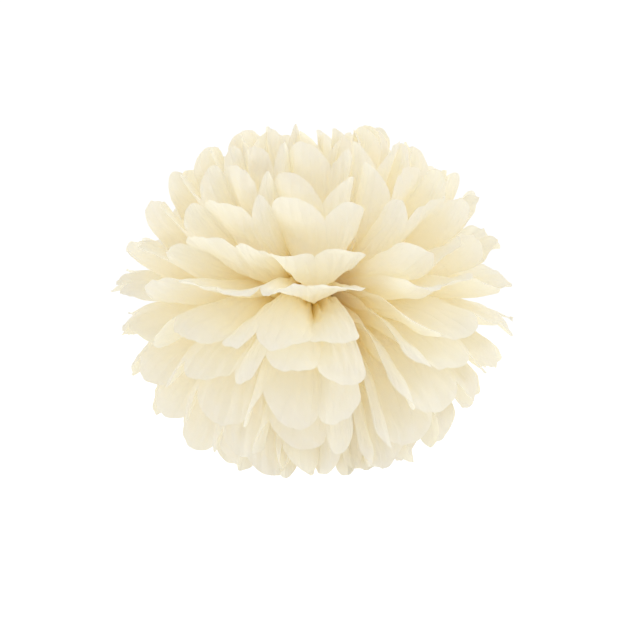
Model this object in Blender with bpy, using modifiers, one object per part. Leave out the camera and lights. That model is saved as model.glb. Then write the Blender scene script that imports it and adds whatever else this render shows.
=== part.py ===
"""A tissue paper pom pom, about 35 cm across.

Twelve sheets of tissue are laid in a stack, folded together like a fan and tied round the middle
with a wire. Both ends of the folded strip are cut round, which makes a row of petals, and the
sheets are then pulled apart, half of them upwards and half of them downwards.

Units are metres. The origin is the middle of the tie and +Z is up. The folded strip ran near X,
so one of the two clefts between its fanned ends faces -Y, a little to one side.
"""
import math
import random

import bmesh
import bpy
from mathutils import Vector

# The tissue
SHEET_LENGTH = 0.350          # along the pleats, from petal tip to petal tip
SHEET_WIDTH = 0.500           # across the pleats, before it is folded
PLEATS = 12
SHEETS_UP = 6
SHEETS_DOWN = 6
PAPER_WALL = 0.0003           # drawn much thicker than tissue, so that it is a solid
PETAL_CUT = 0.019             # how far the round cut at the ends reaches back to the fold
PETAL_POINT = 1.4             # 1 cuts half an ellipse, 2 a parabola, with a wider notch between petals

# The tied middle
TIE_WIDTH = 0.024             # width of the pinched strip
TIE_BULGE = 0.0045            # how much longer the pinched strip is in the middle than at its sides
LAYER_PITCH = 0.0012          # from one sheet to the next in the middle of the pinched strip
EDGE_SQUEEZE = 0.40           # how much closer the sheets lie at the strip's two sides
PINCHED_FOLD = 0.0010         # height of the pleats where they are pinched
LEAST_FOLD = 0.15             # height of a pleat that is spread flat, as a share of its width
BOW_LIMIT = 0.40              # the most that a panel bows at its tip, as a share of its creases' gap

# The fan, angles in degrees
STRIP_TURN = 20.0             # direction of the folded strip, round +Z from +X
LOWEST_UP = 3.0               # how high the tips of the first raised sheet stand
STEEPEST_UP = 70.0
LOWEST_DOWN = 11.0
STEEPEST_DOWN = 77.0
STEEPNESS_GROWTH = 1.05       # above 1 keeps the sheets near the equator closer together
FAN_CLEFT = 11.0              # what a sheet that lies level lacks of a half circle
PINCH_ARC = 168.0             # how far round the tie's oval the creases are spread
CLEFT_GAP = 0.0010            # half of the gap that is left between a sheet's two ends
CLEFT_CLOSING = 0.025         # how soon the two ends come together beyond the tie
FOLD_LIMIT = 13.0             # the most that a crease rises or falls from the sheet's middle
RISE_LENGTH = 0.009           # how soon a sheet turns up or down once it leaves the tie
SHORTENING_UP = 0.17          # share of its length that the steepest sheet loses to crumpling
SHORTENING_DOWN = 0.07        # the same below
SHORTENING_GROWTH_UP = 0.7    # below 1 the middle sheets lose nearly as much as the steepest
SHORTENING_GROWTH_DOWN = 2.0  # above 1 only the steepest ones lose much

# Irregularity of a thing fluffed by hand
FLUFFING = 11                 # another number gives another pom pom
FAN_WANDER = 2.2              # degrees, shared by all the sheets along one crease
FAN_SKEW = 5.5                # degrees that every other panel of a steep sheet is wider
FOLD_WANDER = 0.45            # share of the fold's height
LEAN_WANDER = 4.5             # degrees, shared by all the sheets along one crease
PETAL_WANDER = 0.32           # of one petal by itself, as a share of the angle between sheets
CLEFT_WANDER = 0.20           # of where the ends of one sheet meet, as a share of the same angle
PETAL_DRIFT = 2.75            # degrees sideways, of one petal by itself
PETAL_SHRINK = 0.04           # the most that crumples near its tip shorten one side of a petal
CALM = 0.75                   # share of the up and down wander that a petal pointing to -X lacks
CALM_FOCUS = 4.0              # the higher, the fewer petals beside it are calm too
PETAL_FREEDOM = 1.5           # the higher, the nearer to its tip a petal goes its own way
PETAL_CUP = 0.055             # how deeply a petal is hollowed, as a share of its width
CUP_WANDER = 0.65             # share of that depth
CURL = 14.0                   # degrees by which the tips turn on, away from the equator
CURL_START = 2.5              # the higher, the nearer to its tip a petal curls

# The wire
WIRE = 0.0009
WIRE_TURNS = 2
WIRE_CLEARANCE = 0.0003
TWIST_LENGTH = 0.020
TWIST_TURNS = 3
TWIST_LEAD = 0.0022           # from the loop to where the two ends start to twist
TIE_SQUARENESS = 0.45         # 1 makes the loop an ellipse, less makes it squarer
LOOP_STEPS = 14               # points in one turn of the loop
TWIST_STEPS = 5
WIRE_PITCH = WIRE + WIRE_CLEARANCE

PLEAT_WIDTH = SHEET_WIDTH / PLEATS
WIRE_ROOM = (WIRE_TURNS * WIRE_PITCH + WIRE) / 2 + WIRE_CLEARANCE   # the paper spreads past this
FLAT_RUN = SHEET_LENGTH / 2 - WIRE_ROOM - TIE_BULGE / 2             # paper from the tie to a tip
STEM_ROWS = (0.015, 0.060)    # distances from the tie of the rows of points below a petal
ARC_STEPS = 4                 # faces round one petal's tip
TISSUE_COLOUR = (0.90, 0.84, 0.68, 1.0)
WIRE_COLOUR = (0.62, 0.61, 0.58, 1.0)


def chance(*key):
    """A number from -1 to 1 that is always the same for the same key."""
    return random.Random(repr((FLUFFING, *key))).uniform(-1.0, 1.0)


def make_material(name, colour, roughness, metallic):
    material = bpy.data.materials.new(name)
    material.use_nodes = True
    shader = material.node_tree.nodes["Principled BSDF"]
    shader.inputs["Base Color"].default_value = colour
    shader.inputs["Roughness"].default_value = roughness
    shader.inputs["Metallic"].default_value = metallic
    return material


class Sheet:
    """One sheet of tissue and the way from its flat pattern to its folded, fanned-out place."""

    def __init__(self, up, order):
        count = SHEETS_UP if up else SHEETS_DOWN
        share = order / max(count - 1, 1)
        lowest, steepest = (LOWEST_UP, STEEPEST_UP) if up else (LOWEST_DOWN, STEEPEST_DOWN)
        up_loss = SHORTENING_UP * share ** SHORTENING_GROWTH_UP
        down_loss = SHORTENING_DOWN * share ** SHORTENING_GROWTH_DOWN
        self.sign = 1.0 if up else -1.0
        self.key = ("up" if up else "down", order)
        self.name = f"{'upper' if up else 'lower'}_sheet_{order + 1}"
        self.lean = lowest + (steepest - lowest) * share ** STEEPNESS_GROWTH
        self.cleft = FAN_CLEFT * (1.0 - share)
        self.spacing = (steepest - lowest) / count
        self.reach = FLAT_RUN * (1.0 - (up_loss if up else down_loss))
        self.layer = self.sign * (order + 0.5)

    def pinched(self, side, crease):
        """The point where a crease leaves the pinched middle."""
        turn = math.radians(PINCH_ARC) * (crease / PLEATS - 0.5)
        pitch = LAYER_PITCH * (1.0 - EDGE_SQUEEZE * math.sin(turn) ** 2)
        fold = PINCHED_FOLD / 2 * (-1.0) ** crease
        out = WIRE_ROOM + TIE_BULGE * math.cos(turn)
        return Vector((side * out, TIE_WIDTH / 2 * math.sin(turn), self.layer * pitch + fold))

    def crease_point(self, side, crease, run):
        """A point on one crease, a given distance out from the pinched middle."""
        share = run / self.reach
        freedom = share ** PETAL_FREEDOM
        shrink = PETAL_SHRINK * (0.5 + 0.5 * chance("shrink", self.key, side, crease))
        run *= 1.0 - shrink * freedom
        risen = 1.0 - math.exp(-run / RISE_LENGTH)
        level_run = max(run * math.cos(math.radians(self.lean * risen)), 1e-6)
        closing = (WIRE_ROOM - CLEFT_GAP) * (1.0 - math.exp(-run / CLEFT_CLOSING)) / level_run
        fan = 180.0 - self.cleft + 2.0 * math.degrees(closing)
        place = crease / PLEATS - 0.5
        shift = CLEFT_WANDER * self.spacing / math.cos(math.radians(self.lean)) ** 0.5
        azimuth = place * fan + shift * side * (2 * place) ** 4 * chance("cleft", self.key, place > 0)
        if 0 < crease < PLEATS:
            azimuth += FAN_WANDER * chance("fan", side, crease)
            azimuth += FAN_SKEW * (-1.0) ** crease * math.sin(math.radians(self.lean))
            azimuth += PETAL_DRIFT * chance("drift", self.key, side, crease) * freedom
        left = max(-side * math.cos(math.radians(azimuth - STRIP_TURN)), 0.0)
        loose = 1.0 - CALM * left ** CALM_FOCUS
        lean = self.lean - CURL * math.sin(2 * math.radians(self.lean)) * (1.0 - share ** CURL_START)
        lean += loose * PETAL_WANDER * self.spacing * chance("petal", self.key, side, crease) * freedom
        level = math.cos(math.radians(lean))
        lean += loose * self.sign * LEAN_WANDER * chance("lean", side, crease) * level
        azimuth = math.radians(azimuth)
        lean = math.radians(lean)
        base = run * math.cos(lean) * math.radians(fan) / PLEATS + TIE_WIDTH / PLEATS
        closed = max(1.0 - (base / PLEAT_WIDTH) ** 2, 0.0)
        height = PLEAT_WIDTH * math.sqrt(LEAST_FOLD ** 2 + (1.0 - LEAST_FOLD ** 2) * closed)
        fold = math.atan2(height / 2, max(run, 1e-6))
        limit = math.radians(FOLD_LIMIT)
        fold = limit * math.tanh(fold / limit) * (1.0 + FOLD_WANDER * chance("fold", side, crease))
        rise = risen * (self.sign * lean + (-1.0) ** crease * fold * risen)
        outwards = side * math.cos(rise) * math.cos(azimuth)
        sideways = math.cos(rise) * math.sin(azimuth)
        return self.pinched(side, crease) + run * Vector((outwards, sideways, math.sin(rise)))

    def folded(self, along, across):
        """Where a point of the flat sheet comes to lie: along from the tie, across in pleats."""
        side = -1.0 if along < 0 else 1.0
        pleat = min(int(across), PLEATS - 1)
        part = across - pleat
        run = (abs(along) - SHEET_LENGTH / 2 + FLAT_RUN) * self.reach / FLAT_RUN
        first = self.crease_point(side, pleat, run)
        last = self.crease_point(side, pleat + 1, run)
        chord = last - first
        radial = self.crease_point(side, pleat, run + 0.001) - first
        normal = radial.cross(chord).normalized() * side
        spare = max(PLEAT_WIDTH - chord.length, 0.0)
        arc_rise = math.sqrt(3.0 / 8.0 * chord.length * spare)    # of a shallow arc as long as the pleat
        share = run / self.reach
        depth = min(arc_rise, BOW_LIMIT * share * chord.length) + PETAL_CUP * PLEAT_WIDTH * share ** 2
        depth *= -self.sign * math.sin(math.radians(self.lean)) ** 0.5     # less near the equator
        depth *= 1.0 + CUP_WANDER * chance("cup", side, pleat)
        return first.lerp(last, part) + normal * depth * 4.0 * part * (1.0 - part)


def build_sheet(sheet, collection, frame, material):
    """Lays the sheet out flat with its petals cut, folds every point to its place, and thickens it."""
    mesh = bpy.data.meshes.new(sheet.name)
    bm = bmesh.new()
    half = SHEET_LENGTH / 2
    notch = half - PETAL_CUT
    rows = (half - FLAT_RUN, *STEM_ROWS, notch)
    first_split_row = len(STEM_ROWS)      # from here on a panel has points along its middle
    corners = {}

    def corner(side, row, column):
        key = (side, row, column)
        if key not in corners:
            corners[key] = bm.verts.new(sheet.folded(side * rows[row], column / 2))
        return corners[key]

    def panel(side, *verts):
        """Triangles fanned from the first corner, so that stacked sheets are split alike."""
        for second, third in zip(verts[1:], verts[2:]):
            trio = (verts[0], second, third)
            bm.faces.new(trio if side > 0 else trio[::-1])

    for pleat in range(PLEATS):
        near, middle, far = 2 * pleat, 2 * pleat + 1, 2 * pleat + 2
        panel(1, corner(-1, 0, near), corner(1, 0, near), corner(1, 0, far), corner(-1, 0, far))
        for side in (-1, 1):
            for row in range(len(rows) - 1):
                if row + 1 < first_split_row:
                    panel(side, corner(side, row, near), corner(side, row + 1, near),
                          corner(side, row + 1, far), corner(side, row, far))
                elif row + 1 == first_split_row:
                    panel(side, corner(side, row + 1, middle), corner(side, row + 1, far),
                          corner(side, row, far), corner(side, row, near), corner(side, row + 1, near))
                else:
                    for left, right in ((near, middle), (middle, far)):
                        panel(side, corner(side, row, left), corner(side, row + 1, left),
                              corner(side, row + 1, right), corner(side, row, right))
            top = len(rows) - 1
            tip = [corner(side, top, near)]
            for step in range(1, ARC_STEPS):
                turn = math.pi * step / ARC_STEPS
                along = notch + PETAL_CUT * math.sin(turn) ** PETAL_POINT
                tip.append(bm.verts.new(sheet.folded(side * along, pleat + 0.5 - 0.5 * math.cos(turn))))
            tip.append(corner(side, top, far))
            panel(side, corner(side, top, middle), *tip)

    bm.to_mesh(mesh)
    bm.free()
    sheet_object = bpy.data.objects.new(sheet.name, mesh)
    mesh.materials.append(material)
    mesh.shade_smooth()
    sheet_object.parent = frame
    collection.objects.link(sheet_object)
    wall = sheet_object.modifiers.new("paper wall", "SOLIDIFY")
    wall.thickness = PAPER_WALL
    wall.offset = 0.0


def build_wire(collection, frame, material):
    """The tie: a wire wound round the pinched strip, its two ends twisted together behind it."""
    layers = max(SHEETS_UP, SHEETS_DOWN)
    seat = WIRE_CLEARANCE + WIRE / 2
    wide = TIE_WIDTH / 2 + seat + WIRE_CLEARANCE
    high = layers * LAYER_PITCH + PINCHED_FOLD / 2 + seat
    steps = LOOP_STEPS * WIRE_TURNS
    twist_radius = WIRE_PITCH / 2
    loop = []
    for step in range(1, steps):
        turn = 2 * math.pi * WIRE_TURNS * step / steps
        across = math.copysign(abs(math.cos(turn)) ** TIE_SQUARENESS, math.cos(turn))
        rise = math.copysign(abs(math.sin(turn)) ** TIE_SQUARENESS, math.sin(turn))
        slide = (step / steps - 0.5) * WIRE_TURNS * WIRE_PITCH
        loop.append(Vector((slide, wide * across, high * rise)))

    def strand(phase, lead):
        points = [Vector((lead, wide + TWIST_LEAD / 2, math.sin(phase) * WIRE_PITCH))]
        twist_steps = TWIST_STEPS * TWIST_TURNS
        for step in range(twist_steps + 1):
            turn = phase + 2 * math.pi * TWIST_TURNS * step / twist_steps
            out = wide + TWIST_LEAD + TWIST_LENGTH * step / twist_steps
            points.append(Vector((twist_radius * math.cos(turn), out, twist_radius * math.sin(turn))))
        return points

    start = strand(math.pi / 2, -WIRE_TURNS * WIRE_PITCH / 2)
    end = strand(-math.pi / 2, WIRE_TURNS * WIRE_PITCH / 2)
    path = start[::-1] + loop + end
    curve = bpy.data.curves.new("wire_tie", "CURVE")
    curve.dimensions = "3D"
    spline = curve.splines.new("POLY")
    spline.points.add(len(path) - 1)
    for point, place in zip(spline.points, path):
        point.co = (*place, 1.0)
    curve.bevel_depth = WIRE / 2
    curve.bevel_resolution = 2
    curve.use_fill_caps = True
    curve.materials.append(material)
    wire_object = bpy.data.objects.new("wire_tie", curve)
    wire_object.parent = frame
    collection.objects.link(wire_object)


def build_pom_pom():
    for old in list(bpy.data.objects):
        bpy.data.objects.remove(old)
    collection = bpy.data.collections.new("tissue_pom_pom")
    bpy.context.scene.collection.children.link(collection)
    frame = bpy.data.objects.new("strip_direction", None)
    frame.rotation_euler.z = math.radians(STRIP_TURN)
    collection.objects.link(frame)
    tissue = make_material("tissue", TISSUE_COLOUR, 0.75, 0.0)
    steel = make_material("wire", WIRE_COLOUR, 0.35, 1.0)
    for up, count in ((True, SHEETS_UP), (False, SHEETS_DOWN)):
        for order in range(count):
            build_sheet(Sheet(up, order), collection, frame, tissue)
    build_wire(collection, frame, steel)


build_pom_pom()
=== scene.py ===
# %% [markdown]
# # A tissue paper pom pom
# The real one is twelve sheets of tissue paper, folded together like a fan, tied round the middle
# with a wire, cut round at both ends and pulled apart by hand. It could be sculpted as a ball, or
# one petal could be modelled and copied, but neither shows how paper gathers at a tie. So every
# sheet is folded from its flat pattern here, as the solids were. The solids are loaded first,
# because each new piece stands for one of them.

# %% Load the frame
import math
import random

import bpy
import numpy as np
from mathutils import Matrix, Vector


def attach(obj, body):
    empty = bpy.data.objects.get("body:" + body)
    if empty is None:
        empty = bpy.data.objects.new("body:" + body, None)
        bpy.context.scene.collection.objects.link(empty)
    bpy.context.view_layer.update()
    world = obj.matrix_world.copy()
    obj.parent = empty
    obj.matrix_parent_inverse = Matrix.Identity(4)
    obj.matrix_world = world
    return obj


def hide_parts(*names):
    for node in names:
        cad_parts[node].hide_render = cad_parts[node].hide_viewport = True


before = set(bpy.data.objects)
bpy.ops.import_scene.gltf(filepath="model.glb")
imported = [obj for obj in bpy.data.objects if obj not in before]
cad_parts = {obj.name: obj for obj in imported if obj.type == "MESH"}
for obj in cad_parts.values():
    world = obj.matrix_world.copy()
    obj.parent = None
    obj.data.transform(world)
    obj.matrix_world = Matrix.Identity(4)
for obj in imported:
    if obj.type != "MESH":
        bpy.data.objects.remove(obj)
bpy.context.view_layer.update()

print("nodes:", ", ".join(sorted(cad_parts)))

# %% [markdown]
# ## The flat pattern
# A real sheet is a rectangle with twelve pleats, and the scissors round both ends of the folded
# strip, so that every pleat ends in a petal on either side. The petals could be separate pieces,
# but it is the one sheet of paper that keeps them evenly spaced. So a sheet stays one rectangle, and
# a point of it has a flat place: how far it is along the pleats from the middle, in metres, and how
# far across them, counted in pleats. These sizes are those of the solids.

# %% Sizes of a sheet, in metres
SHEET_LENGTH = 0.350      # along the pleats, from petal tip to petal tip
SHEET_WIDTH = 0.500       # across the pleats, before it is folded
PLEATS = 12
SHEETS_UP = 6
SHEETS_DOWN = 6
PETAL_CUT = 0.019         # how far the round cut at the ends reaches back to the fold
PETAL_POINT = 1.4         # 1 cuts half an ellipse, 2 a parabola
PLEAT_WIDTH = SHEET_WIDTH / PLEATS
print(f"pleats {PLEAT_WIDTH * 1000:.1f} mm wide")

# %% [markdown]
# ## Chance that stays the same
# No two petals of a pom pom that was fluffed by hand are alike. Plain random numbers would all
# change as soon as one more is drawn before them. So each number is drawn from a key, such as the
# name of a sheet and the number of a petal, and the same petal always leans the same way, here
# and in the solids.

# %% Numbers by chance
FLUFFING = 11             # another number gives another pom pom


def chance(*key):
    """A number from -1 to 1 that is always the same for the same key."""
    return random.Random(repr((FLUFFING, *key))).uniform(-1.0, 1.0)


print("chances of three creases:", [round(chance("fan", 1.0, crease), 2) for crease in (1, 2, 3)])

# %% [markdown]
# ## The tied middle
# Two turns of thin wire pinch the folded strip to a narrow waist. It is hidden, and the creases
# could simply start from one point, but then the sheets would cross there. The creases start from
# a flat oval instead, one layer above the other, with room for the wire round it. A crease has a
# side, 1 or -1 for the two ends of the strip, and a number from 0 to 12 across the sheet.

# %% Where a crease leaves the tie
TIE_WIDTH = 0.024         # width of the pinched strip
TIE_BULGE = 0.0045        # how much longer the pinched strip is in the middle than at its sides
LAYER_PITCH = 0.0012      # from one sheet to the next in the middle of the pinched strip
EDGE_SQUEEZE = 0.40       # how much closer the sheets lie at the strip's two sides
PINCHED_FOLD = 0.0010     # height of the pleats where they are pinched
PINCH_ARC = 168.0         # degrees of the oval that the creases are spread over
WIRE = 0.0009             # thickness of the wire
WIRE_TURNS = 2
WIRE_CLEARANCE = 0.0003
WIRE_PITCH = WIRE + WIRE_CLEARANCE
WIRE_ROOM = (WIRE_TURNS * WIRE_PITCH + WIRE) / 2 + WIRE_CLEARANCE    # the paper spreads past this
FLAT_RUN = SHEET_LENGTH / 2 - WIRE_ROOM - TIE_BULGE / 2              # paper from the tie to a tip


def crease_start(sheet, side, crease):
    """The point where a crease leaves the pinched middle."""
    turn = math.radians(PINCH_ARC) * (crease / PLEATS - 0.5)
    pitch = LAYER_PITCH * (1.0 - EDGE_SQUEEZE * math.sin(turn) ** 2)
    fold = PINCHED_FOLD / 2 * (-1.0) ** crease
    out = WIRE_ROOM + TIE_BULGE * math.cos(turn)
    return np.array([side * out, TIE_WIDTH / 2 * math.sin(turn), sheet.layer * pitch + fold])


print(f"{FLAT_RUN * 1000:.0f} mm of paper from the tie to a tip")

# %% [markdown]
# ## Twelve sheets, pulled up and down
# Fluffing pulls the sheets apart one by one, half of them up and half of them down. The first of
# each half stays nearly level and the last stands nearly upright. They could be posed by eye, but
# a rule spaces them evenly and never lets two change places. An upright sheet also reaches less
# far, because its paper crumples most.

# %% The sheets
LOWEST_UP = 3.0           # degrees that the tips of the first raised sheet stand above level
STEEPEST_UP = 70.0
LOWEST_DOWN = 11.0        # the same below
STEEPEST_DOWN = 77.0
STEEPNESS_GROWTH = 1.05   # above 1 keeps the sheets near the equator closer together
FAN_CLEFT = 11.0          # degrees that a level sheet lacks of a half circle
SHORTENING_UP = 0.17      # share of its length that the steepest sheet loses to crumpling
SHORTENING_DOWN = 0.07
SHORTENING_GROWTH_UP = 0.7    # below 1 the middle sheets lose nearly as much
SHORTENING_GROWTH_DOWN = 2.0  # above 1 only the steepest sheets lose much


class FoldedSheet:
    """One sheet: which way it leans, how far it reaches, and its layer in the tied stack."""

    def __init__(self, up, order):
        count = SHEETS_UP if up else SHEETS_DOWN
        lowest = LOWEST_UP if up else LOWEST_DOWN
        steepest = STEEPEST_UP if up else STEEPEST_DOWN
        share = order / (count - 1)
        if up:
            loss = SHORTENING_UP * share ** SHORTENING_GROWTH_UP
        else:
            loss = SHORTENING_DOWN * share ** SHORTENING_GROWTH_DOWN
        self.sign = 1.0 if up else -1.0
        self.key = ("up" if up else "down", order)
        self.name = f"{'upper' if up else 'lower'}_sheet_{order + 1}"
        self.lean = lowest + (steepest - lowest) * share ** STEEPNESS_GROWTH
        self.cleft = FAN_CLEFT * (1.0 - share)
        self.spacing = (steepest - lowest) / count
        self.reach = FLAT_RUN * (1.0 - loss)
        self.layer = self.sign * (order + 0.5)


upper_sheets = [FoldedSheet(True, order) for order in range(SHEETS_UP)]
lower_sheets = [FoldedSheet(False, order) for order in range(SHEETS_DOWN)]
sheets = upper_sheets + lower_sheets
print("upper sheets lean", [round(sheet.lean) for sheet in upper_sheets], "degrees")
print("lower sheets lean", [round(sheet.lean) for sheet in lower_sheets], "degrees")

# %% [markdown]
# ## How a sheet fans out
# The two ends of a real sheet open into two half circles, whose edges nearly meet in a cleft. The
# creases could be spread evenly, but a hand never does that. One shift is shared by all the sheets
# along a crease, so that they stay inside one another, and a smaller one belongs to one petal
# alone and grows towards its tip.

# %% The fan, in degrees
CLEFT_GAP = 0.0010        # half of the gap that is left between a sheet's two ends, in metres
CLEFT_CLOSING = 0.025     # how soon the two ends come together beyond the tie, in metres
CLEFT_WANDER = 0.20       # of where they meet, as a share of the angle between sheets
RISE_LENGTH = 0.009       # how soon a sheet turns up or down once it leaves the tie, in metres
FAN_WANDER = 2.2          # shared by all the sheets along one crease
FAN_SKEW = 5.5            # that every other panel of a steep sheet is wider
PETAL_DRIFT = 2.75        # sideways, of one petal by itself
LEAST_RUN = 1e-6          # metres, so that nothing is divided by zero at the tie


def share_risen(run):
    """How much of its turn up or down a crease has made at each distance from the tie."""
    return 1.0 - np.exp(-run / RISE_LENGTH)


def fan_angle(sheet, run):
    """How much of the circle one end of a sheet fills. It closes the cleft beyond the tie."""
    level_run = np.maximum(run * np.cos(np.radians(sheet.lean * share_risen(run))), LEAST_RUN)
    closing = (WIRE_ROOM - CLEFT_GAP) * (1.0 - np.exp(-run / CLEFT_CLOSING)) / level_run
    return 180.0 - sheet.cleft + 2.0 * np.degrees(closing)


def crease_azimuth(sheet, side, crease, fan, freedom):
    """Which way a crease points, seen from above. Freedom grows from 0 at the tie to 1 at the tip."""
    place = crease / PLEATS - 0.5
    shift = CLEFT_WANDER * sheet.spacing / math.cos(math.radians(sheet.lean)) ** 0.5
    azimuth = place * fan + shift * side * (2 * place) ** 4 * chance("cleft", sheet.key, place > 0)
    if 0 < crease < PLEATS:
        azimuth = azimuth + FAN_WANDER * chance("fan", side, crease)
        azimuth = azimuth + FAN_SKEW * (-1.0) ** crease * math.sin(math.radians(sheet.lean))
        azimuth = azimuth + PETAL_DRIFT * chance("drift", sheet.key, side, crease) * freedom
    return azimuth


print("fans at the tips:", [round(float(fan_angle(sheet, sheet.reach))) for sheet in upper_sheets])

# %% [markdown]
# ## How steeply a crease stands
# A real petal leans with its sheet, curls on a little towards its tip, and wanders up or down where
# a thumb has pushed it. All that could be one random angle, but neighbours would then poke through
# each other. So most of the wander is shared along a crease, and a petal's own part is only a share
# of the angle between two sheets. To the left the petals are calmer, as the long level ones of the
# photo are.

# %% The lean of a crease, in degrees
STRIP_TURN = 20.0         # direction of the folded strip, round the upright from the right
CURL = 14.0               # by which the tips turn on, away from the equator
CURL_START = 2.5          # the higher, the nearer to its tip a petal curls
PETAL_WANDER = 0.32       # of one petal by itself, as a share of the angle between sheets
LEAN_WANDER = 4.5         # shared by all the sheets along one crease
CALM = 0.75               # share of the up and down wander that a petal to the left lacks
CALM_FOCUS = 4.0          # the higher, the fewer petals beside it are calm too


def crease_lean(sheet, side, crease, azimuth, share, freedom):
    """How far above or below level a crease stands at each share of its length."""
    left = np.maximum(-side * np.cos(np.radians(azimuth - STRIP_TURN)), 0.0)
    loose = 1.0 - CALM * left ** CALM_FOCUS
    curl = CURL * math.sin(2 * math.radians(sheet.lean))
    lean = sheet.lean - curl * (1.0 - share ** CURL_START)
    own = PETAL_WANDER * sheet.spacing * chance("petal", sheet.key, side, crease) * freedom
    lean = lean + loose * own
    level = np.cos(np.radians(lean))
    return lean + loose * sheet.sign * LEAN_WANDER * chance("lean", side, crease) * level


print("lean of the first raised sheet's middle crease:",
      round(float(crease_lean(upper_sheets[0], 1.0, 6, 0.0, 1.0, 1.0)), 1))

# %% [markdown]
# ## The pleats and the whole crease
# The paper of a pleat keeps its width, so where the fan is narrow the pleats stand high, and where
# it opens they flatten. That could be guessed with a curve drawn by hand. The right triangle of a
# pleat's width, its share of the fan and its height gives it without guessing. With it all the
# parts of a crease's path are there, and the rule can place a point at any distance from the tie.

# %% The folds
LEAST_FOLD = 0.15         # height of a pleat that is spread flat, as a share of its width
FOLD_LIMIT = 13.0         # degrees, the most that a crease rises or falls from the sheet's middle
FOLD_WANDER = 0.45        # share of the fold's height
PETAL_FREEDOM = 1.5       # the higher, the nearer to its tip a petal goes its own way
PETAL_SHRINK = 0.04       # the most that crumples near its tip shorten one side of a petal


def fold_angle(side, crease, run, lean, fan):
    """How far a crease stands off the middle of its zigzag, as an angle seen from the tie."""
    base = run * np.cos(lean) * np.radians(fan) / PLEATS + TIE_WIDTH / PLEATS
    closed = np.maximum(1.0 - (base / PLEAT_WIDTH) ** 2, 0.0)
    height = PLEAT_WIDTH * np.sqrt(LEAST_FOLD ** 2 + (1.0 - LEAST_FOLD ** 2) * closed)
    fold = np.arctan2(height / 2, np.maximum(run, LEAST_RUN))
    limit = math.radians(FOLD_LIMIT)
    return limit * np.tanh(fold / limit) * (1.0 + FOLD_WANDER * chance("fold", side, crease))


def crease_curve(sheet, side, crease, run):
    """The path of one crease, as points at the given distances from the tie."""
    share = run / sheet.reach
    freedom = share ** PETAL_FREEDOM
    shrink = PETAL_SHRINK * (0.5 + 0.5 * chance("shrink", sheet.key, side, crease))
    run = run * (1.0 - shrink * freedom)
    fan = fan_angle(sheet, run)
    azimuth = crease_azimuth(sheet, side, crease, fan, freedom)
    lean = np.radians(crease_lean(sheet, side, crease, azimuth, share, freedom))
    azimuth = np.radians(azimuth)
    fold = fold_angle(side, crease, run, lean, fan)
    risen = share_risen(run)
    rise = risen * (sheet.sign * lean + (-1.0) ** crease * fold * risen)
    outwards = side * np.cos(rise) * np.cos(azimuth)
    sideways = np.cos(rise) * np.sin(azimuth)
    direction = np.stack([outwards, sideways, np.sin(rise)], axis=-1)
    return crease_start(sheet, side, crease) + run[:, None] * direction


CREASE_POINTS = 181       # along one crease
PAST_TIP = 1.02           # the points go on a little past the tip, as a share of the length

for sheet in sheets:
    sheet.step = sheet.reach * PAST_TIP / (CREASE_POINTS - 1)
    runs = np.arange(CREASE_POINTS) * sheet.step
    sheet.creases = {
        side: np.array([crease_curve(sheet, side, crease, runs) for crease in range(PLEATS + 1)])
        for side in (-1.0, 1.0)
    }
print(len(sheets) * 2 * (PLEATS + 1), "creases of", CREASE_POINTS, "points")

# %% [markdown]
# ## From flat to folded
# Between two creases the real paper bows out, and towards its tip a petal is cupped like a spoon.
# A simulation of cloth could find that shape, but it would slide the sheets out of the solids. The
# rule is used instead: a point lies on the line between the two creases of its pleat, pushed off
# it by the height of a shallow arc that is as long as the pleat is wide. A sheet has thousands of
# points, so the rule works on whole arrays of them at once.

# %% Fold flat points
BOW_LIMIT = 0.40          # the most that a panel bows at its tip, as a share of its creases' gap
PETAL_CUP = 0.055         # how deeply a petal is hollowed, as a share of its width
CUP_WANDER = 0.65         # share of that depth
NUDGE = 0.001             # metres to each side of a point, to find a crease's direction


def pleat_and_part(across):
    """The pleat that each point lies in, and how far across that pleat it is, from 0 to 1."""
    pleat = np.clip(across.astype(int), 0, PLEATS - 1)
    return pleat, across - pleat


def on_crease(sheet, side, crease, run):
    """Points on the creases with the given numbers, between the points that were stored."""
    place = np.clip(run / sheet.step, 0, CREASE_POINTS - 1.001)
    low = place.astype(int)
    part = (place - low)[..., None]
    curve = sheet.creases[side]
    return curve[crease, low] * (1.0 - part) + curve[crease, low + 1] * part


def fold_flat(sheet, side, along, across):
    """Folds flat points of one side: their places, the paper's normal, and the width of the pleat."""
    run = np.clip(along - SHEET_LENGTH / 2 + FLAT_RUN, 0.0, None) * sheet.reach / FLAT_RUN
    share = run / sheet.reach
    pleat, part = pleat_and_part(across)
    part = part[..., None]
    first = on_crease(sheet, side, pleat, run)
    last = on_crease(sheet, side, pleat + 1, run)
    chord = last - first
    width = np.linalg.norm(chord, axis=-1)
    radial = on_crease(sheet, side, pleat, run + NUDGE) - on_crease(sheet, side, pleat, run - NUDGE)
    normal = np.cross(radial, chord) * side
    normal /= np.linalg.norm(normal, axis=-1, keepdims=True)
    arc_rise = np.sqrt(3.0 / 8.0 * width * np.maximum(PLEAT_WIDTH - width, 0.0))
    depth = np.minimum(arc_rise, BOW_LIMIT * share * width) + PETAL_CUP * PLEAT_WIDTH * share ** 2
    depth *= -sheet.sign * math.sin(math.radians(sheet.lean)) ** 0.5     # less near the equator
    cups = np.array([1.0 + CUP_WANDER * chance("cup", side, number) for number in range(PLEATS)])
    depth = (depth * cups[pleat])[..., None]
    bow = normal * depth * 4.0 * part * (1.0 - part)
    return first * (1.0 - part) + last * part + bow, normal, width


tips = fold_flat(upper_sheets[0], 1.0, np.full(PLEATS, SHEET_LENGTH / 2), np.arange(PLEATS) + 0.5)[0]
print(f"tips of the first raised sheet reach {np.linalg.norm(tips, axis=-1).max() * 1000:.0f} mm out")

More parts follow.
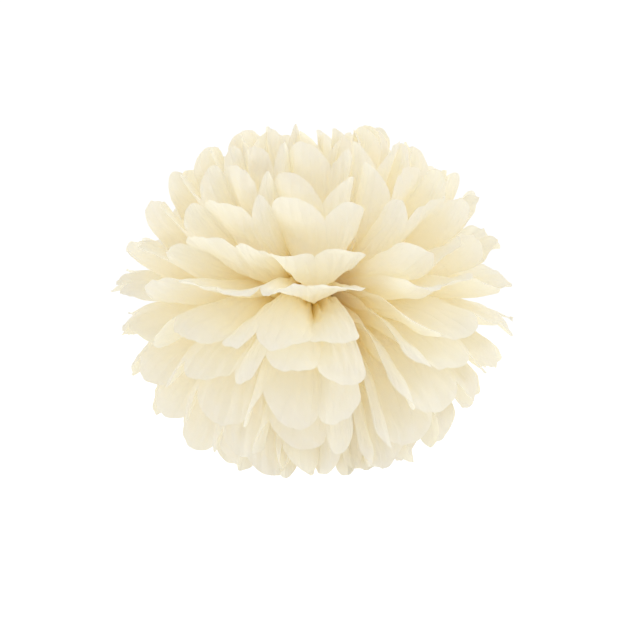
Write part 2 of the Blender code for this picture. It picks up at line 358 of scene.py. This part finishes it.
# %% [markdown]
# ## Soft creases
# Card keeps a sharp crease, but tissue that has been pulled open keeps only a soft one. A bevel
# along every crease would do, and would have to be redone with each change of shape. Averaging
# each point with its neighbours across the pleats rounds the crease as it is made.

# %% Round the creases
CREASE_ROUNDING = 0.16    # of a pleat's width, to each side of a crease
ROUNDING_OFFSETS = np.array([-1.0, -0.5, 0.0, 0.5, 1.0]) * CREASE_ROUNDING
ROUNDING_WEIGHTS = np.array([0.15, 0.22, 0.26, 0.22, 0.15])


def fold_softly(sheet, side, along, across):
    """Folds flat points as fold_flat does, with each point averaged across the pleats."""
    point = 0.0
    normal = 0.0
    width = 0.0
    for offset, weight in zip(ROUNDING_OFFSETS, ROUNDING_WEIGHTS):
        beside = np.clip(across + offset, 0.0, PLEATS - 1e-6)
        there, facing, span = fold_flat(sheet, side, along, beside)
        point = point + weight * there
        normal = normal + weight * facing
        width = width + weight * span
    normal /= np.linalg.norm(normal, axis=-1, keepdims=True)
    return point, normal, width


print(f"creases rounded over {2 * CREASE_ROUNDING * PLEAT_WIDTH * 1000:.0f} mm")

# %% [markdown]
# ## A ripple for everything uneven
# Handled paper is uneven in many ways, and none of them repeats. A noise texture could push the
# points about, but it would be one more thing to keep in step with the mesh. A few sine waves in
# random directions, added up, look just as uneven, and they are the same each time for a seed.

# %% Ripples
def ripple(seed, u, v, length, waves=5):
    """A smooth uneven ripple of the given length, mostly from -1 to 1, the same for a seed."""
    draw = random.Random(repr((FLUFFING, "ripple", seed)))
    total = np.zeros(np.broadcast(u, v).shape)
    for _ in range(waves):
        angle = draw.uniform(0, math.pi)
        phase = draw.uniform(0, 2 * math.pi)
        scale = 2 * math.pi / (length * draw.uniform(0.7, 1.5))
        total = total + np.sin(scale * (math.cos(angle) * u + math.sin(angle) * v) + phase)
    return total / math.sqrt(waves)


trial = ripple("trial", np.linspace(0.0, 1.0, 200), 0.0, 0.05)
print(f"{(np.abs(trial) < 1.0).mean() * 100:.0f}% of a ripple is between -1 and 1")

# %% [markdown]
# ## Crumples where the tie gathers the paper
# Near the tie there is far more paper than room, and it stands in fine upright crumples. A bump in
# the material would look flat there, because these crumples shade one another, so they are real
# waves of the mesh. They lift the stacked sheets together, each point straight up or down its own
# meridian, like a place on a globe. Sheets that move alike don't cross.

# %% Crumples
CRUMPLES = 3              # waves across one pleat
CRUMPLE_HEIGHT = 0.58     # the most, as a share of one wave's length
CRUMPLE_GROWTH = 0.7      # how soon spare paper raises them to that
CRUMPLE_END = 0.085       # metres from the tie where they end on a level sheet
CRUMPLE_END_STEEP = 0.060 # how much farther they go on an upright one, which has more to gather
CRUMPLE_FADE = 0.050      # metres over which they die away
CRUMPLE_DRIFT = 0.35      # how far they wander sideways, in waves
DRIFT_LENGTH = 0.09       # metres over which they do
RIPPLE_RADIUS = 0.12      # metres from the tie at which ripples round it have their stated length


def meridian_places(point, side):
    """For each point its azimuth, its distance from the tie, and the way up its own meridian."""
    azimuth = np.arctan2(point[:, 1], side * point[:, 0])
    distance = np.linalg.norm(point, axis=-1)
    climb = np.arcsin(point[:, 2] / distance)
    outwards = -side * np.sin(climb) * np.cos(azimuth)
    sideways = -np.sin(climb) * np.sin(azimuth)
    return azimuth, distance, np.stack([outwards, sideways, np.cos(climb)], axis=-1)


def crumples(sheet, side, along, width, azimuth, distance):
    """How far the crumples lift each point, in metres."""
    spare = np.clip(PLEAT_WIDTH / np.maximum(width, 0.001) - 1.0, 0.0, 1.0)
    height = np.minimum(CRUMPLE_GROWTH * np.sqrt(spare), CRUMPLE_HEIGHT) * width / CRUMPLES
    end = CRUMPLE_END + CRUMPLE_END_STEEP * math.sin(math.radians(sheet.lean))
    height *= np.clip((end - along) / CRUMPLE_FADE, 0.0, 1.0)
    drift = CRUMPLE_DRIFT * ripple(("drift", side), azimuth * RIPPLE_RADIUS, distance, DRIFT_LENGTH)
    turns = CRUMPLES * azimuth * PLEATS / math.pi + drift
    return height * np.sin(2 * math.pi * turns)


print("waves in the crumples of one sheet's end:", CRUMPLES * PLEATS)

# %% [markdown]
# ## Wavering petals and long wrinkles
# Farther out the paper wavers softly, and fine wrinkles run outwards in the places that were
# handled most. These too could be left to the material, but the outline of a petal would stay
# stiff. They belong to all the sheets of one direction together, for the same reason as the
# crumples, so they can be high enough to be seen.

# %% What neighbouring petals share
WAVER = 0.0013            # metres up or down at the tips
WAVER_LENGTH = 0.036
SHARED_WRINKLE = 0.00112  # height of the wrinkles, in metres
WRINKLE_WIDTH = 0.009
WRINKLE_SLANT = 0.12      # how much slower they change along the pleats than across them
WRINKLE_WAVES = 9
WRINKLE_START = 0.2       # share of the way to the tip where they start
WRINKLE_RAMP = 0.4        # share of the way over which they grow
PATCH_LENGTH = 0.070      # size of the worn patches
PATCH_CONTRAST = 0.6


def worn_patches(seed, u, v):
    """From 0 where the paper was left alone to 1 where it was handled most."""
    return np.clip(0.5 + PATCH_CONTRAST * ripple(seed, u, v, PATCH_LENGTH), 0.0, 1.0)


def shared_waver(side, around, distance, share):
    return WAVER * share ** 2 * ripple(("shared", side), around, distance, WAVER_LENGTH)


def shared_wrinkles(side, around, distance, share):
    worn = worn_patches(("worn", side), around, distance)
    slow = distance * WRINKLE_SLANT
    lines = ripple(("lines", side), around, slow, WRINKLE_WIDTH, waves=WRINKLE_WAVES)
    grown = np.clip((share - WRINKLE_START) / WRINKLE_RAMP, 0.0, 1.0)
    return SHARED_WRINKLE * worn * grown * lines


print(f"shared waver {WAVER * 1000:.1f} mm, wrinkles {SHARED_WRINKLE * 1000:.1f} mm")

# %% [markdown]
# ## What a petal does by itself
# Each real petal also has dents and wrinkles of its own, and its rim curls a little where a finger
# ran along it. Modelling them one by one would take weeks for 288 petals, so they come from
# ripples with the sheet's name as their seed. They push the paper along its normal and stay small,
# so that a petal clears the next sheet.

# %% A petal's own dents, wrinkles and rim
OWN_WAVER = 0.00025       # metres
OWN_WAVER_LENGTH = 0.030
OWN_WRINKLE = 0.00035
DENT = 0.0011             # depth of the flat facets that handling leaves between sharp creases
DENT_WIDTH = 0.040
DENT_SLANT = 0.45
DENT_WAVES = 4
RIM_CURL = 0.0060         # metres that the rim may curl
RIM_WIDTH = 0.022         # how far in from the rim the curl starts


def own_waver(sheet, u, v, share):
    return OWN_WAVER * share ** 2 * ripple(sheet.key, u, v, OWN_WAVER_LENGTH)


def own_wrinkles(sheet, u, v, share):
    worn = worn_patches(("patches", sheet.key), u, v)
    streaks = ripple(("streaks", sheet.key), u, v * WRINKLE_SLANT, WRINKLE_WIDTH, waves=WRINKLE_WAVES)
    return OWN_WRINKLE * worn * share ** 3 * streaks


def own_dents(sheet, u, v, share):
    folds = ripple(("dents", sheet.key), u, v * DENT_SLANT, DENT_WIDTH, waves=DENT_WAVES)
    return DENT * share ** 3 * (np.abs(folds) - 0.5)


def curled_rim(sheet, side, across, rim):
    pleat, part = pleat_and_part(across)
    curls = np.array([chance("rim", sheet.key, side, number) for number in range(PLEATS)])
    nearness = np.clip(1.0 - rim / RIM_WIDTH, 0.0, 1.0)
    return RIM_CURL * curls[pleat] * 4 * part * (1 - part) * nearness ** 2


print("petals with dents of their own:", len(sheets) * 2 * PLEATS)

# %% [markdown]
# ## All of it together
# On the real thing the folding comes first and the handling later. The same order is kept here: a
# point is folded, then lifted with its neighbours in the stack, and then pushed a little by itself.
# Modifiers could do each step, but they would not know where the tie and the rim are.

# %% Place the points of a sheet
OTHER_HALF = 1.0          # metres between a sheet's two halves in the ripples, so that they differ


def place_points(sheet, side, along, across, rim):
    """Folds the flat points of one side, with all that makes them tissue. Rim is metres to the cut."""
    point, normal, width = fold_softly(sheet, side, along, across)
    azimuth, distance, upwards = meridian_places(point, side)
    around = azimuth * RIPPLE_RADIUS
    share = np.clip(along / (SHEET_LENGTH / 2), 0.0, 1.0)
    lift = crumples(sheet, side, along, width, azimuth, distance)
    lift += shared_waver(side, around, distance, share)
    lift += shared_wrinkles(side, around, distance, share)
    u = across * PLEAT_WIDTH
    v = along + (OTHER_HALF if side > 0 else 2 * OTHER_HALF)
    own = own_waver(sheet, u, v, share)
    own += own_wrinkles(sheet, u, v, share)
    own += own_dents(sheet, u, v, share)
    own += curled_rim(sheet, side, across, rim)
    return point + upwards * lift[:, None] + normal * own[:, None]


trial = place_points(upper_sheets[0], 1.0, np.array([0.10]), np.array([6.5]), np.array([0.07]))
print("a point of the first raised sheet, mm:", [round(float(v) * 1000) for v in trial[0]])

# %% [markdown]
# ## The round cut
# All twelve sheets are cut at once with scissors, through a thick strip, so the layers slip and no
# petal is cut quite like the next. A boolean cut of the folded sheet would leave ragged faces.
# The cut is made in the flat pattern instead: the rows of the grid simply end on the cut line.

# %% Where the scissors went
CUT_SLIP = 0.0016         # metres, half of the most that a petal is cut short of the pattern
CUT_LEAN = 0.0020         # metres that one side of a petal may be cut longer than the other
CUT_ROUGHNESS = 0.0004    # metres that the scissors wander
CUT_ROUGHNESS_LENGTH = 0.012    # metres of cut in which they do


def cut_line(sheet, side, across):
    """How far from the middle of the sheet the cut runs, at each place across it."""
    pleat, part = pleat_and_part(across)
    arch = np.sqrt(np.clip(1.0 - (2.0 * part - 1.0) ** 2, 0.0, 1.0))
    petal = 2 * pleat + (side > 0)
    slips = np.array([chance("cut", sheet.key, number) for number in range(2 * PLEATS)])
    leans = np.array([chance("cut lean", sheet.key, number) for number in range(2 * PLEATS)])
    line = SHEET_LENGTH / 2 - PETAL_CUT + PETAL_CUT * arch ** PETAL_POINT
    line += arch * (CUT_SLIP * (slips[petal] - 1.0) + CUT_LEAN * leans[petal] * (2.0 * part - 1.0))
    wander = ripple(("scissors", sheet.key), across * PLEAT_WIDTH, side, CUT_ROUGHNESS_LENGTH)
    return line + CUT_ROUGHNESS * wander


notch_and_tip = cut_line(upper_sheets[0], np.array([1.0, 1.0]), np.array([5.0, 5.5]))
print("notch and tip, mm from the middle:", [round(v * 1000) for v in notch_and_tip])

# %% [markdown]
# ## The grid, still flat
# Tissue is so thin that its edge can't be seen. A sheet could get its true thickness, but one layer
# of faces, seen from both sides, looks the same and renders faster. It starts as a plain square
# grid, whose columns and rows are numbered and then spread over the cut pattern. The columns stand
# closer at the creases, where the shape changes most, and one row of faces crosses the tie.

# %% From grid to pattern
COLUMNS = 24              # faces across one petal
ROWS = 44                 # faces from the tie to a tip
WIDE = COLUMNS * PLEATS
LONG = 2 * ROWS + 1
CREASE_CROWDING = 0.5     # 0 spaces the columns evenly, 1 crowds them most at the creases


def spread_pattern(sheet, grid):
    """The flat places of a grid's points: side, along, across, and metres from the cut."""
    column = np.rint((grid[:, 0] + 0.5) * WIDE).astype(int)
    row = np.rint((grid[:, 1] + 0.5) * LONG).astype(int)
    step = (column % COLUMNS) / COLUMNS
    crowded = 0.5 * (1.0 - np.cos(math.pi * step))
    part = (1.0 - CREASE_CROWDING) * step + CREASE_CROWDING * crowded
    across = column // COLUMNS + part
    side = np.where(row > ROWS, 1.0, -1.0)
    out = np.where(side > 0, row - ROWS - 1, ROWS - row) / ROWS
    cut = cut_line(sheet, side, across)
    start = SHEET_LENGTH / 2 - FLAT_RUN
    along = start + (cut - start) * out
    return side, along, across, cut - along


print("faces of one sheet:", WIDE * LONG)

# %% [markdown]
# ## One sheet of tissue
# Now the real steps are done in their order: the sheet is laid flat, cut, folded, and turned to the
# way that the strip lies. Its UV map keeps the flat sheet in metres, so that a pattern of the
# material runs along the pleats as it does in real paper.
# Faces near the tie are shaded flat. Smooth shading on such steep small crumples bends the light
# away, and turns the warm middle of the pom pom grey.

# %% Cut and fold the sheets
FLAT_FACES_END = 0.110    # metres from the middle up to which faces are shaded flat


def cut_sheet(sheet):
    """A grid cut to round petals and folded. Its UV map keeps the flat sheet, in metres."""
    bpy.ops.mesh.primitive_grid_add(x_subdivisions=WIDE, y_subdivisions=LONG, size=1.0, location=(0, 0, 0))
    piece = bpy.context.object
    piece.name = piece.data.name = sheet.name + "_tissue"
    mesh = piece.data
    grid = np.empty(len(mesh.vertices) * 3)
    mesh.vertices.foreach_get("co", grid)
    side, along, across, rim = spread_pattern(sheet, grid.reshape(-1, 3))
    places = np.empty((len(mesh.vertices), 3))
    for end in (-1.0, 1.0):
        chosen = side == end
        places[chosen] = place_points(sheet, end, along[chosen], across[chosen], rim[chosen])
    turn = math.radians(STRIP_TURN)
    spin = np.array([[math.cos(turn), math.sin(turn), 0],
                     [-math.sin(turn), math.cos(turn), 0],
                     [0, 0, 1]])
    mesh.vertices.foreach_set("co", (places @ spin).ravel())
    flat = np.stack([across * PLEAT_WIDTH, side * along], axis=-1)
    corners = np.empty(len(mesh.loops), dtype=np.int32)
    mesh.loops.foreach_get("vertex_index", corners)
    mesh.uv_layers[0].name = "flat sheet"
    mesh.uv_layers[0].data.foreach_set("uv", flat[corners].ravel())
    mesh.shade_smooth()
    first_corners = corners[::4]
    mesh.polygons.foreach_set("use_smooth", along[first_corners] > FLAT_FACES_END)
    mesh.update()
    return piece


tissue_pieces = [cut_sheet(sheet) for sheet in sheets]
print(sum(len(piece.data.polygons) * 2 for piece in tissue_pieces), "triangles of tissue")

# %% [markdown]
# ## Shader helpers
# A material is a small calculation, drawn as boxes and wires in the node editor. It could be built
# box by box, but that takes a dozen lines for one sum. A wrapper round a socket lets the maths read
# like maths, and one method makes any other node.

# %% The wrapper
class Value:
    """A socket of a node tree. Python's operators on it add the Math nodes that work them out."""

    def __init__(self, socket):
        self.socket = socket
        self.tree = socket.id_data

    def fill(self, inputs):
        """Puts numbers, colours or links into the sockets of the node that this value comes from."""
        for name, value in inputs.items():
            connect(self.socket.node.inputs[name], value)

    def node(self, kind, settings=None, inputs=None, output=0):
        """Adds any node: its settings first, then the values or links of its sockets."""
        made = self.tree.nodes.new(kind)
        for name, value in (settings or {}).items():
            setattr(made, name, value)
        result = Value(made.outputs[output])
        result.fill(inputs or {})
        return result

    def maths(self, operation, *values):
        return self.node("ShaderNodeMath", {"operation": operation}, dict(enumerate(values)))

    def __add__(self, other):
        return self.maths("ADD", self, other)

    def __radd__(self, other):
        return self.maths("ADD", other, self)

    def __mul__(self, other):
        return self.maths("MULTIPLY", self, other)

    def __rmul__(self, other):
        return self.maths("MULTIPLY", other, self)

    def __abs__(self):
        return self.maths("ABSOLUTE", self)

    def at_most(self, limit):
        return self.maths("MINIMUM", self, limit)

    def blend(self, low, high):
        """A colour between two others, by this value. Sockets 6 and 7 of a Mix node are its colours."""
        return self.node("ShaderNodeMix", {"data_type": "RGBA"}, {0: self, 6: low, 7: high}, output=2)


def connect(socket, value):
    """Puts a number, a colour or another node's output into a socket."""
    if isinstance(value, Value):
        value.tree.links.new(value.socket, socket)
    else:
        socket.default_value = value


def new_material(name):
    """A material, its Principled shader as a Value, and the socket that takes its surface."""
    material = bpy.data.materials.new(name)
    material.use_nodes = True
    nodes = material.node_tree.nodes
    shader = Value(nodes["Principled BSDF"].outputs[0])
    return material, shader, nodes["Material Output"].inputs["Surface"]


print("shader maths ready")

# %% [markdown]
# ## The tissue
# Real tissue scatters light and lets about as much through, so the hollows of the pom pom glow warm
# rather than going grey. A plain Principled shader would look like card, and its subsurface needs a
# solid, so a Translucent shader is mixed in, which suits a sheet without thickness. The colour and
# the share of light that goes through are cloudy, as tissue is when it is held up. Dents, long fine
# creases and a faint grain go into the bump, because they are too small for the mesh. They follow
# the flat sheet, so they run out along the pleats, and they fade towards the tie.

# %% Tissue material
CREAM = (0.996, 0.986, 0.986, 1.0)
DEEPER_CREAM = (0.985, 0.967, 0.943, 1.0)
WARM_THROUGH = (0.995, 0.949, 0.720, 1.0)    # what one layer of tissue does to light behind it
LEAST_THROUGH = 0.32          # share of the light that goes through the densest places
CLOUDY_THROUGH = 0.30         # how much more goes through the thinnest
TISSUE_ROUGHNESS = 0.78
TISSUE_SHEEN = 0.25           # specular level, half of a common surface's
CLOUD_SCALE = 150.0           # how many of each fit in a metre
DENT_SCALE = 80.0
CREASE_SCALE = 120.0
GRAIN_SCALE = 650.0
DENTS = 0.6                   # how much each kind of relief counts
CREASES = 0.5
GRAIN = 0.20
CREASE_STRETCH = 0.16         # creases change this much slower along the pleats than across them
CREASE_SHARPNESS = 0.50
RELIEF_HEIGHT = 0.0020        # metres
RELIEF_GROWTH = 9.0           # per metre from the tie, up to 1, so the gathered middle has least

tissue, paper, tissue_surface = new_material("ivory tissue")
flat_place = paper.node("ShaderNodeUVMap", {"uv_map": "flat sheet"})
drawn_out = paper.node("ShaderNodeVectorMath", {"operation": "MULTIPLY"},
                       {0: flat_place, 1: (1.0, CREASE_STRETCH, 1.0)})
clouds = paper.node("ShaderNodeTexNoise", None,
                    {"Vector": flat_place, "Scale": CLOUD_SCALE, "Detail": 4.0})
grain = paper.node("ShaderNodeTexNoise", None,
                   {"Vector": flat_place, "Scale": GRAIN_SCALE, "Detail": 2.0})
dents = paper.node("ShaderNodeTexNoise", None,
                   {"Vector": flat_place, "Scale": DENT_SCALE, "Detail": 4.0})
creases = paper.node("ShaderNodeTexNoise", {"noise_type": "RIDGED_MULTIFRACTAL"},
                     {"Vector": drawn_out, "Scale": CREASE_SCALE, "Detail": 3.0,
                      "Gain": 1.0, "Offset": 0.9})
from_tie = abs(paper.node("ShaderNodeSeparateXYZ", None, {0: flat_place}, output="Y"))
outer = (from_tie * RELIEF_GROWTH).at_most(1.0)
relief = (dents * DENTS + creases * CREASES + grain * GRAIN) * outer
bumped = paper.node("ShaderNodeBump", None,
                    {"Height": relief, "Strength": CREASE_SHARPNESS, "Distance": RELIEF_HEIGHT})
through = paper.node("ShaderNodeBsdfTranslucent", None, {"Color": WARM_THROUGH, "Normal": bumped})
share_through = clouds * CLOUDY_THROUGH + LEAST_THROUGH
paper.fill({"Base Color": clouds.blend(DEEPER_CREAM, CREAM), "Normal": bumped,
            "Roughness": TISSUE_ROUGHNESS, "Specular IOR Level": TISSUE_SHEEN})
mixed = paper.node("ShaderNodeMixShader", None, {0: share_through, 1: paper, 2: through})
connect(tissue_surface, mixed)

for piece, sheet in zip(tissue_pieces, sheets):
    piece.data.materials.clear()
    piece.data.materials.append(tissue)
    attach(piece, "root")
    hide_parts(sheet.name)
print("tissue on", len(tissue_pieces), "pieces")

# %% [markdown]
# ## Each sheet's cut
# Every piece is one rectangle of tissue with its two short ends cut round, gathered by the tie. Paper
# can't stretch, so a piece has less area than was cut. The pieces come out at 0.7 to 0.9 of it. The
# rest is in crumples that are finer than the mesh, most of them near the tie. The loop below works out
# the area of each piece's faces.

for piece in tissue_pieces:
    areas = np.empty(len(piece.data.polygons))
    piece.data.polygons.foreach_get("area", areas)

# %% [markdown]
# ## The wire
# The tie is a plain drawn wire, a little dull. A new piece could be swept along a curve, but the
# solid already has the right round shape, so it stays and only gets a better material. Small
# uneven patches of colour and roughness keep it from looking like plastic.

# %% Wire material
DULL_METAL = (0.50, 0.49, 0.46, 1.0)
BRIGHT_METAL = (0.68, 0.67, 0.64, 1.0)
METAL_PATCH_SCALE = 700.0     # how many patches fit in a metre
LEAST_ROUGHNESS = 0.28
ADDED_ROUGHNESS = 0.25
steel, metal, _ = new_material("florist wire")
place = metal.node("ShaderNodeTexCoord", output="Object")
dulling = metal.node("ShaderNodeTexNoise", None,
                     {"Vector": place, "Scale": METAL_PATCH_SCALE, "Detail": 3.0})
metal.fill({"Base Color": dulling.blend(DULL_METAL, BRIGHT_METAL),
            "Roughness": dulling * ADDED_ROUGHNESS + LEAST_ROUGHNESS,
            "Metallic": 1.0})
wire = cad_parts["wire_tie"]
for index in range(len(wire.material_slots)):
    wire.material_slots[index].material = steel
print("wire material on", wire.name)

# %% [markdown]
# ## The floor
# The photo shows the pom pom in the air against white, and a plain pale floor lies well below it
# here. A floor bright enough to look white could be lit more, but that would light the paper too. So
# it glows a little for the camera alone, and still takes the soft shadow.

# %% Floor
FLOOR_SIZE = 14.0             # metres
FLOOR_LEVEL = -0.60
FLOOR_GLOW = 0.60
FLOOR_PALE = (0.92, 0.92, 0.92, 1.0)
FLOOR_ROUGHNESS = 0.9
WHITE = (1.0, 1.0, 1.0, 1.0)
bpy.ops.mesh.primitive_plane_add(size=FLOOR_SIZE, location=(0, 0, FLOOR_LEVEL))
floor = bpy.context.object
floor.name = "floor"
pale_floor, coat, floor_surface = new_material("pale floor")
coat.fill({"Base Color": FLOOR_PALE, "Roughness": FLOOR_ROUGHNESS})
to_camera = coat.node("ShaderNodeLightPath", output="Is Camera Ray")
glow = coat.node("ShaderNodeEmission", None, {"Color": WHITE, "Strength": to_camera * FLOOR_GLOW})
connect(floor_surface, coat.node("ShaderNodeAddShader", None, {0: coat, 1: glow}))
floor.data.materials.append(pale_floor)
print("floor", -FLOOR_LEVEL, "m below the tie")

# %% [markdown]
# ## The world
# In a studio most of the light on pale paper comes from the bright room all round. Many lamps could
# imitate it, but the world does it with one colour. What the camera sees behind the pom pom is
# another matter: it is white, a little over 1, so that no grain of the render shows in it. Light
# that comes straight through the paper or glances off it sees that white as well.

# %% World
ROOM_COLOUR = (1.0, 0.986, 1.0, 1.0)
ROOM_STRENGTH = 0.805
BACKDROP_STRENGTH = 1.04
world = bpy.data.worlds.new("studio")
bpy.context.scene.world = world
world.use_nodes = True
room = Value(world.node_tree.nodes["Background"].outputs[0])
room.fill({"Color": ROOM_COLOUR, "Strength": ROOM_STRENGTH})
backdrop = room.node("ShaderNodeBackground", None, {"Color": WHITE, "Strength": BACKDROP_STRENGTH})
seen = room.node("ShaderNodeLightPath", output="Is Camera Ray")
for other in ("Is Glossy Ray", "Is Transmission Ray"):
    seen = seen.maths("MAXIMUM", seen, room.node("ShaderNodeLightPath", output=other))
choice = room.node("ShaderNodeMixShader", None, {0: seen, 1: room, 2: backdrop})
connect(world.node_tree.nodes["World Output"].inputs["Surface"], choice)
print("room light at", ROOM_STRENGTH)

# %% [markdown]
# ## The lamps
# The photo is brighter on the right and its shadows are faint, as under large diffusers. Small
# strong lamps would give hard edges between the petals. Three wide soft ones stand to the right,
# behind, and low on the left, each turned towards the tie. They are a little blue, because the
# paper warms the light that passes through it.

# %% Lamps
LAMP_COLOUR = (0.82, 0.92, 1.0)


def soft_lamp(name, place, size, power):
    """A round lamp of the given width and power, in metres and watts, that faces the tie."""
    data = bpy.data.lights.new(name, "AREA")
    data.shape = "DISK"
    data.size = size
    data.energy = power
    data.color = LAMP_COLOUR
    lamp = bpy.data.objects.new(name, data)
    lamp.location = place
    lamp.rotation_euler = Vector(place).to_track_quat("Z", "Y").to_euler()
    bpy.context.scene.collection.objects.link(lamp)
    print(f"{name} lamp, {power} W")


soft_lamp("key", (1.6, -0.8, 0.80), size=1.2, power=7.2)
soft_lamp("back", (0.8, 1.6, 0.40), size=1.2, power=4.8)
soft_lamp("low fill", (-1.4, -0.6, -0.30), size=0.5, power=4.1)

# %% [markdown]
# ## The camera
# The photo was taken from nearly level with the pom pom and a little above it. The lens could be
# tried out by eye, but it follows from three things: how wide the object is, how many of the
# photo's pixels it fills, and how far away the camera stands.

# %% Camera
CAMERA_DISTANCE = 1.30
CAMERA_ELEVATION = 4.0        # degrees
AIM = Vector((0.0030, 0.0, -0.0245))    # what lies in the middle of the picture
PHOTO_WIDTH = 633             # pixels
OBJECT_PIXELS = 401
OBJECT_WIDTH = 0.346          # metres, seen from the front
SENSOR_WIDTH = 36.0           # millimetres
elevation = math.radians(CAMERA_ELEVATION)
camera_data = bpy.data.cameras.new("camera")
camera = bpy.data.objects.new("camera", camera_data)
camera.location = AIM + CAMERA_DISTANCE * Vector((0, -math.cos(elevation), math.sin(elevation)))
camera.rotation_euler = (camera.location - AIM).to_track_quat("Z", "Y").to_euler()
camera_data.sensor_width = SENSOR_WIDTH
camera_data.lens = SENSOR_WIDTH * CAMERA_DISTANCE / (OBJECT_WIDTH * PHOTO_WIDTH / OBJECT_PIXELS)
bpy.context.scene.collection.objects.link(camera)
bpy.context.scene.camera = camera
bpy.context.scene.view_settings.view_transform = "Standard"
print(f"lens {camera_data.lens:.1f} mm")

# %% [markdown]
# ## Light through many layers
# In the hollows of the real pom pom the light has come through many layers of tissue, and each
# layer warms it a little. The hollows could be painted warm, but that would look wrong under other
# light. Each layer counts as a bounce, so the light is allowed many of them. With the usual few it
# stops early, and the hollows turn grey.

# %% Bounces
LIGHT_BOUNCES = 48
light_paths = bpy.context.scene.cycles
light_paths.max_bounces = LIGHT_BOUNCES
light_paths.diffuse_bounces = LIGHT_BOUNCES
light_paths.transmission_bounces = LIGHT_BOUNCES
print("bounces:", light_paths.max_bounces)
